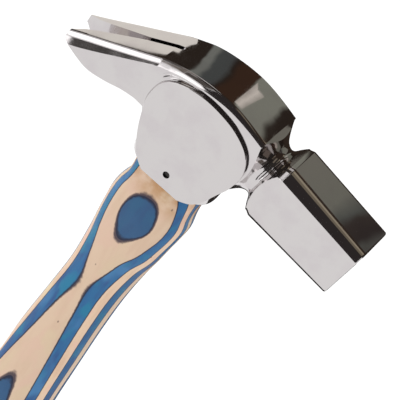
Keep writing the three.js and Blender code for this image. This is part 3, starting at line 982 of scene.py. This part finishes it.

# %% [markdown]
# The steel is polished bright, but never to a perfect mirror. Handling leaves soft smudges, which
# are a little rougher and warmer, and the polishing wheel leaves hairlines along and across the
# head. A metal's colour is the share of the light that it mirrors, so the steel is a middling grey.
# The same group paints the pin near black, as painted shade for the hole that it sits in.

# %% Steel of the head and of the pin
steel_group, steel_in, steel_out = open_group(
    "used_steel",
    [("Main", "Color", (0.6, 0.6, 0.6, 1)), ("Smudge", "Color", (0.6, 0.6, 0.6, 1)),
     ("Dullness", "Float", 0.1), ("Smudge Dullness", "Float", 0.1)],
    [("Color", "Color"), ("Roughness", "Float"), ("Height", "Float")])


def fill_steel_group(tree):
    even = stretched(tree, (1, 1, 1))
    smudges = ramp_up(tree, noise_at(tree, even, scale=150, detail=3), 0.42, 0.68)
    hairs = noise_at(tree, stretched(tree, (0.06, 1, 1)), scale=3200)
    cross = noise_at(tree, stretched(tree, (1, 0.05, 0.5)), scale=2300)
    hair = number(tree, "MAXIMUM", ramp_up(tree, hairs, 0.62, 0.74),
                  ramp_up(tree, cross, 0.68, 0.78))
    colour = blend(tree, smudges, steel_in["Main"], steel_in["Smudge"])
    tree.links.new(colour, steel_out["Color"])
    rough = number(tree, "MULTIPLY_ADD", smudges, steel_in["Smudge Dullness"], steel_in["Dullness"])
    tree.links.new(number(tree, "MULTIPLY_ADD", hair, 0.05, rough), steel_out["Roughness"])
    tree.links.new(number(tree, "MULTIPLY", hair, -1), steel_out["Height"])


fill_steel_group(steel_group)
steel = finish("polished_steel", steel_group, {
    "Main": (0.635, 0.608, 0.606, 1), "Smudge": (0.61, 0.575, 0.582, 1), "Dullness": 0.07,
    "Smudge Dullness": 0.05}, metallic=1, bump=0.012)
# Near black: painted shade for the hole the pin sits in.
pin_steel = finish("pin_steel", steel_group, {
    "Main": (0.05, 0.046, 0.045, 1), "Smudge": (0.03, 0.026, 0.025, 1), "Dullness": 0.3,
    "Smudge Dullness": 0.15}, metallic=1, bump=0.1)
head.data.materials.append(steel)
print("Metal:", steel.name, pin_steel.name)

# %% [markdown]
# The resin that beds the handle in its socket is hidden in the finished hammer, but it is a real
# piece, so it has a finish too: cured resin is brown and a little cloudy. Pin and resin keep the
# meshes of the CAD model, and only their materials are exchanged.

# %% Resin, and the finishes of the two pieces kept from the CAD model
def resin_finish():
    material = bpy.data.materials.new("bedding_resin")
    material.use_nodes = True
    tree = material.node_tree
    surface = tree.nodes["Principled BSDF"]
    even = stretched(tree, (1, 1, 1))
    cloud = ramp_up(tree, noise_at(tree, even, scale=500, detail=3), 0.35, 0.7)
    colour = blend(tree, cloud, shaded(58, 42, 32), shaded(92, 70, 50))
    tree.links.new(colour, surface.inputs["Base Color"])
    rough = number(tree, "MULTIPLY_ADD", cloud, 0.2, 0.35)
    tree.links.new(rough, surface.inputs["Roughness"])
    return material


for node, material in (("cross_pin", pin_steel), ("socket_bedding", resin_finish())):
    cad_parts[node].data.materials.clear()
    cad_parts[node].data.materials.append(material)
    print(node, "is now", material.name)

# %% [markdown]
# Polished steel has hardly any colour of its own: it shows what stands round it. The air is white,
# and the steel's darker and tinted reflections are painted: glowing cards, which are no lamps, stand
# in for the room that a bright hammer would mirror. They glow by themselves, so their colour in the
# mirror is the one that is written here, and they are seen by mirrors only: the camera, the soft
# light and the shadows pass through them, so they are painted reflection and nothing else. A card
# can lie high above the hammer, level below it, or stand upright behind it. Far cards are given by
# their slant, because a flat mirror only knows directions.

# %% Cards that only the steel sees: painted reflections
scene = bpy.context.scene
scene.view_settings.view_transform = "Standard"
high_above = 1.7


# The glow of a card, which is no lamp, is the colour of a painted reflection.
def painted_reflection_material(name, colour, strength):
    material = bpy.data.materials.new(name)
    material.use_nodes = True
    tree = material.node_tree
    tree.nodes.clear()
    out = add_node(tree, "OutputMaterial")
    glow = add_node(tree, "Emission", {"Color": (*colour, 1), "Strength": strength})
    tree.links.new(glow.outputs["Emission"], out.inputs["Surface"])
    return material


# A glowing card that mirrors alone see: a painted reflection on the steel.
def card(name, corners, colour, strength=1):
    bm = bmesh.new()
    bm.faces.new([bm.verts.new(corner) for corner in corners])
    piece = piece_from(bm, name)
    piece.visible_camera = False
    piece.visible_diffuse = False
    piece.visible_shadow = False
    piece.data.materials.append(painted_reflection_material(name, colour, strength))
    return piece


def card_above(name, slants, colour, strength=1):
    """A level card high over the hammer, its corners given as slants from straight up."""
    corners = [(x * high_above, y * high_above, high_above) for x, y in slants]
    return card(name, corners, colour, strength)


def card_behind(name, places, colour, depth=113):
    """A level card below the hammer, its corners given in millimetres."""
    return card(name, [(x * mm, y * mm, -depth * mm) for x, y in places], colour)


def card_upright(name, places, colour, away=1.5):
    """An upright card across the back of the studio, its corners as metres across and up."""
    return card(name, [(x, away, z) for x, z in places], colour)


print("Cards above hang at", high_above, "m")

# %% [markdown]
# The poll's back and the neck look towards the back of the room. A wide dark glowing card there
# paints them a nearly black reflection. Three lighter cards like shelves and two brown ones like
# panels in front of it paint the short reflected lines that break up the dark in a round neck, for a
# curved mirror squeezes a whole room into a few lines.

# %% Painted reflections of the back of the room
# Painted reflection: a dark glowing card that the poll's back and the neck mirror as near black.
card_upright("back_wall_painted_reflection", [(-2.31, -0.25), (12.2, -0.25), (12.2, 9.6), (5.6, 4.5),
                                (1.5, 1.66), (0, 1.09), (-0.866, 0.92), (-2.31, 1.46)],
             (0.035, 0.03, 0.027))
shelf_reflections = [(0.07, 0.35, (0.2, 0.17, 0.125)), (-0.2, 0.07, (0.36, 0.31, 0.23)),
           (-0.53, -0.2, (0.6, 0.54, 0.44))]
for count, (low, high, colour) in enumerate(shelf_reflections, 1):
    card_upright(f"painted_reflection_shelf_{count}_flag", [(0.1, low), (0.4, low), (0.4, high), (0.1, high)],
                 colour, 1.3)
panel_reflections = [("claw", -1.5, -0.75, (0.21, 0.175, 0.15)), ("crown", 1.05, 1.7, (0.2, 0.17, 0.13))]
for side, start, end, colour in panel_reflections:
    card_upright(f"painted_reflection_panel_{side}_flag", [(start, -0.35), (end, -0.35), (end, 0.6), (start, 0.6)],
                 colour, 1.4)
print("At the back: one wall,", len(shelf_reflections), "shelves and", len(panel_reflections), "panel_reflections")

# %% [markdown]
# The facets of claw and crown look up past the camera. Dark glowing cards above paint the
# reflections there: the black line under the bright one, the brown and tan stretches between them,
# and the dark ring round the cheek. Two glowing cards, brighter than the white air, paint the
# highlights on the hottest lines of the chamfer.

# %% Cards above: painted reflections and painted highlights
near_black, white = (0.035, 0.03, 0.03), (1, 1, 1)
# Dark and tinted cards paint reflections on the facets; the two white ones paint highlights.
cards_above = [
    ("front_painted_reflection", [(-0.235, -0.32), (0.12, -0.32), (0.2, 0.3), (0.6, 1.2), (1.2, 2.6), (-0.3, 2.6),
                    (-0.36, 0.9), (-0.4, 0.6), (-0.29, 0.1), (-0.235, -0.1)], near_black, 1),
    ("side_painted_reflection", [(0.34, -0.5), (0.5, -0.36), (0.61, -0.1), (0.62, 0.1), (0.56, 0.28),
                   (0.45, 0.42), (0.28, 0.5), (0.6, 1.15), (1.2, 0.95), (1.3, 0.4), (0.86, 0.1),
                   (0.82, -0.2), (0.74, -0.5), (0.5, -0.72)], near_black, 1),
    ("claw_painted_reflection", [(-0.575, -0.42), (-1, -0.42), (-1, -0.2), (-0.575, -0.12)],
     (0.075, 0.07, 0.066), 1),
    ("claw_line_painted_reflection", [(-1.9, 0.8), (-1.9, 1.15), (-3.6, 2.4), (-4.2, 1.9), (-2.6, 0.9)],
     (0.07, 0.055, 0.05), 1),
    ("tan_painted_reflection", [(-1.3, 0.57), (-0.8, 0.58), (-0.8, 1.15), (-1.3, 1.2)], (0.19, 0.165, 0.145), 1),
    ("brown_painted_reflection", [(-0.79, 0.58), (-0.41, 0.6), (-0.37, 0.9), (-0.31, 2.6), (-0.79, 2.6)],
     (0.1, 0.088, 0.08), 1),
    # Painted highlights: glowing cards brighter than the white air, which is no lamp.
    ("claw_painted_highlight", [(-1.1, 0.3), (-1.75, 0.3), (-1.8, 0.5), (-1.55, 0.56), (-1.1, 0.55)],
     white, 1.9),
    ("crown_painted_highlight", [(-0.57, -0.36), (-0.57, -0.12), (-0.72, 0), (-0.5, 0.06), (-0.3, 0.02),
                     (-0.245, -0.1), (-0.245, -0.36)], white, 1.8),
]
for name, slants, colour, strength in cards_above:
    card_above(name, slants, colour, strength)
print("Above:", len(cards_above), "cards")

# %% [markdown]
# The top of claw and crown, and the upper side of the poll, are seen so flatly that they show what
# lies just behind the hammer. A pale glowing card paints the claw's beige top as the reflection of a
# bench, and a dark card paints the crown a nearly black reflection of a room. The edge of that dark
# card follows the line where the claw's beige ends, so it has many corners. A lighter card like a
# wall and a strip of painted light break up the dark.

# %% Cards below and behind
# Glowing cards below the hammer, seen only by mirrors: painted reflections of a light strip, a
# bench, a wall and a dark room.
card_behind("edge_light_painted_reflection", [(27, 44), (38, 44), (38, 62), (27, 62)], (0.27, 0.225, 0.16), 12)
card_behind("low_painted_reflection", [(-60, -250), (-60, -105), (120, -105), (120, -250)],
            (0.03, 0.026, 0.024))
card_behind("bench_painted_reflection", [(-300, -120), (-20, -20), (-20, 60), (-300, 60)],
            (0.9, 0.865, 0.8), 16)
card_behind("wall_painted_reflection", [(-95, 61), (-20, 61), (-45, 260), (-110, 260)], (0.6, 0.58, 0.56), 12.2)
room_reflection_card = card_behind("room_painted_reflection", [(-300, -100), (-60, 17), (-50, 21), (-45, 22), (-40, 23.5),
                                 (-35, 25.3), (-31, 21.5), (-28, 19.6), (-25.5, 18.6), (-24, 15),
                                 (-25, 12), (-30, -12), (60, -16), (300, -50), (300, 300),
                                 (-300, 300)],
                   (0.035, 0.024, 0.018), 12.5)
print("Behind:", room_reflection_card.name, "has", len(room_reflection_card.data.vertices), "corners")

# %% [markdown]
# The painted dark room isn't even. Painted reflections of a window frame, a wall and a bench lie in
# the crown as broad stripes, and the flat top of the poll shows the painted wall alone. A colour
# ramp across one glowing card holds these stripes, and a little noise in the lookup makes their
# edges uneven, as they are on real steel. The stripes fan out where the crown curves away, so the
# place across grows with the place along.

# %% Painted stripes of the room's reflection
fan_from = 32


def fill_ramp(ramp, stops):
    marks = ramp.color_ramp.elements
    while len(marks) < len(stops):
        marks.new(1)
    for mark, (place, colour) in zip(marks, stops):
        mark.position = place
        mark.color = (*colour, 1)


def striped_card(name, corners, stops, low, high, fan, depth):
    """A glowing card of painted reflection, striped across X; stops give place in mm and colour.

    The stripes are as wide as the stops say at Y = fan_from, and fan is their change per millimetre.
    """
    piece = card_behind(name, corners, white, depth)
    tree = piece.data.materials[0].node_tree
    even = stretched(tree, (1, 1, 1))
    split = add_node(tree, "SeparateXYZ", {0: even})
    ends = number(tree, "MULTIPLY_ADD", split.outputs["Y"], -fan / mm, 1 + fan * fan_from)
    fanned = number(tree, "MULTIPLY", split.outputs["X"], ends)
    uneven = number(tree, "MULTIPLY_ADD", noise_at(tree, even, scale=140, detail=3),
                    5 * mm, -2.5 * mm)
    moved = number(tree, "ADD", fanned, uneven)
    share = number(tree, "MULTIPLY_ADD", moved, 1 / ((high - low) * mm), -low / (high - low))
    ramp = add_node(tree, "ValToRGB", {"Fac": share})
    fill_ramp(ramp, [((x - low) / (high - low), colour) for x, colour in stops])
    tree.links.new(ramp.outputs["Color"], tree.nodes["Emission"].inputs["Color"])
    return piece


# Colours of the painted reflection in crown and poll: dark room, brown, wall and window frame.
dark, brown = (0.03, 0.022, 0.017), (0.05, 0.027, 0.017)
grey, slate = (0.2, 0.21, 0.19), (0.075, 0.082, 0.08)
wall = (0.25, 0.255, 0.215)
frame_light, pane, frame_dim = (0.5, 0.46, 0.41), (0.72, 0.67, 0.6), (0.45, 0.42, 0.37)
striped_card("crown_stripes_painted_reflection",
             [(-44, 26), (-35, 25.5), (-31, 21.7), (-28, 19.8), (-25.5, 18.8), (-23.5, 14),
              (26, 14), (26, 60), (-44, 60)],
             [(-44, dark), (-25.5, dark), (-23.5, grey), (-20, grey), (-17.5, slate), (-12, slate),
              (-10, dark), (-7.5, brown), (1, brown), (2, wall), (17, wall), (19.5, dark)],
             -44, 26, 0.0215, 12)
striped_card("window_painted_reflection", [(1.2, 47), (8.5, 47), (8.8, 29), (4.5, 29.5), (2, 27)],
             [(-20, frame_light), (2, frame_light), (5, pane), (8, frame_dim), (20, frame_dim)],
             -20, 20, 0, 11.5)
poll_wall_reflection_card = striped_card("poll_wall_painted_reflection", [(24, 36), (60, 36), (60, 15), (26, 15)],
                         [(20, (0.21, 0.2, 0.17)), (42, (0.19, 0.19, 0.16)),
                          (47, (0.1, 0.105, 0.095)), (49, (0.05, 0.04, 0.035)),
                          (54, (0.04, 0.032, 0.03)), (56, (0.09, 0.09, 0.08))],
                         20, 60, 0, 12)
print("Nodes in the stripes of the poll:", len(poll_wall_reflection_card.data.materials[0].node_tree.nodes))

# %% [markdown]
# The air itself is a world shader. For rays that come from the camera, a mirror or glass it is
# plain white, and for soft light it is a little lower, so that pale wood doesn't burn out.

# %% World
world = bpy.data.worlds.new("studio")
scene.world = world
world.use_nodes = True
tree = world.node_tree
tree.nodes.clear()
out = add_node(tree, "OutputWorld")
path = add_node(tree, "LightPath")
seen = path.outputs["Is Camera Ray"]
for kind in ("Is Glossy Ray", "Is Transmission Ray"):
    seen = number(tree, "MAXIMUM", seen, path.outputs[kind])
soft_air, seen_air = (
    add_node(tree, "Background", {"Color": (1, 1, 1, 1), "Strength": strength})
    for strength in (0.8, 1))
mix = add_node(tree, "MixShader", {0: seen, 1: soft_air.outputs[0], 2: seen_air.outputs[0]})
tree.links.new(mix.outputs[0], out.inputs["Surface"])
print("Strength of the soft light:", soft_air.inputs["Strength"].default_value)

# %% [markdown]
# The floor is plain, pale and wide. It lies well below the hammer, so the shadow on it is broad and
# faint, and a little glow of its own keeps it from turning grey at the far edge.

# %% Floor
floor_half, floor_level = 6, -0.6
bm = bmesh.new()
bmesh.ops.create_grid(bm, x_segments=1, y_segments=1, size=floor_half)
bmesh.ops.translate(bm, verts=bm.verts, vec=(0, 0, floor_level))
floor = piece_from(bm, "floor")
pale = bpy.data.materials.new("pale_floor")
pale.use_nodes = True
surface = pale.node_tree.nodes["Principled BSDF"]
surface.inputs["Base Color"].default_value = (0.8, 0.8, 0.8, 1)
surface.inputs["Roughness"].default_value = 1
surface.inputs["Emission Color"].default_value = (1, 1, 1, 1)
surface.inputs["Emission Strength"].default_value = 0.4
floor.data.materials.append(pale)
print("The floor is", floor.dimensions.x, "m wide")

# %% [markdown]
# One wide, round lamp hangs high over the claw's side of the hammer and gives the wood a soft light
# side. Mirrors don't see it: the round neck would show it twice, as two hard white spots, so glowing
# cards paint the highlights on the steel in its place.

# %% Lamp
lamp_direction = Vector((-0.66, 0.5, 1)).normalized()
lamp_away, lamp_size, lamp_strength = 2, 1.15, 2
light = bpy.data.lights.new("key_lamp", "AREA")
light.shape = "DISK"
light.size = lamp_size
lamp_area = math.pi * (lamp_size / 2) ** 2
light.energy = lamp_strength * math.pi * lamp_area
lamp = bpy.data.objects.new("key_lamp", light)
lamp.location = lamp_direction * lamp_away
lamp.rotation_euler = lamp_direction.to_track_quat("Z", "Y").to_euler()
lamp.visible_glossy = False
scene.collection.objects.link(lamp)
print("Lamp:", round(light.energy, 2), "W")

# %% [markdown]
# The camera looks down on the upper cheek from the side of the crown, through a long lens. Its
# place was found from the corners of the poll, and the anchor is a point by which they are held: it
# has to come to a known place in the picture. The view is turned only as far as the edges of the
# poll need, and the lens is shifted to bring the anchor there.

# %% Camera
picture_side = 400
anchor = Vector((24.077 * mm, 2.736 * mm, 10.75 * mm))
anchor_across, anchor_down = 282.78, 182.39
camera_away = 0.6384
back = Vector((0.0831024, 0.5913045, 0.8021552))
right = Vector((0.7468867, 0.4959361, -0.4429533))
up = back.cross(right)
camera = bpy.data.objects.new("camera", bpy.data.cameras.new("camera"))
scene.collection.objects.link(camera)
scene.camera = camera
camera.data.sensor_width = 36
camera.data.lens = 226.2
camera.data.clip_start = 0.05
camera.data.clip_end = 20
camera.data.shift_x = 0.5 - anchor_across / picture_side
camera.data.shift_y = anchor_down / picture_side - 0.5
view = Matrix((right, up, back)).transposed().to_4x4()
view.translation = anchor + back * camera_away
camera.matrix_world = view
print("The camera stands at", [round(x, 3) for x in view.translation], "m")
